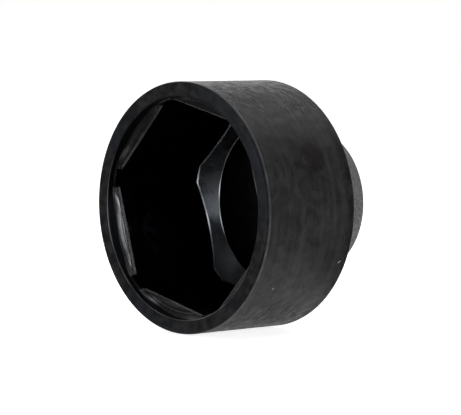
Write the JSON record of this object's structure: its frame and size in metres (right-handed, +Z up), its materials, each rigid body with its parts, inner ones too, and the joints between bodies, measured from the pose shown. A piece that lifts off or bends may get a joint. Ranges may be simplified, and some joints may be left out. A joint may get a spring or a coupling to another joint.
{
  "type": "oil filter wrench",
  "caption": "Low-profile cup-type oil filter wrench: a six-point steel socket with a dished floor and a square drive hub welded in its back.",
  "frame": {"origin": "on the wrench's own axis, half way between the mouth and the drive end", "axes": "+Y along the axis from the mouth to the drive end, +Z up with the wrench lying on its side"},
  "size_m": [0.046, 0.034, 0.046],
  "materials": {
    "cup_steel": "black oxide, satin outside and glossy inside the hexagon",
    "hub_steel": "dark grey, grainy, as forged",
    "weld_steel": "blackened weld metal"
  },
  "bodies": {
    "root": {"socket_cup": "cup_steel", "drive_hub": "hub_steel", "weld_bead": "weld_steel"}
  },
  "joints": []
}
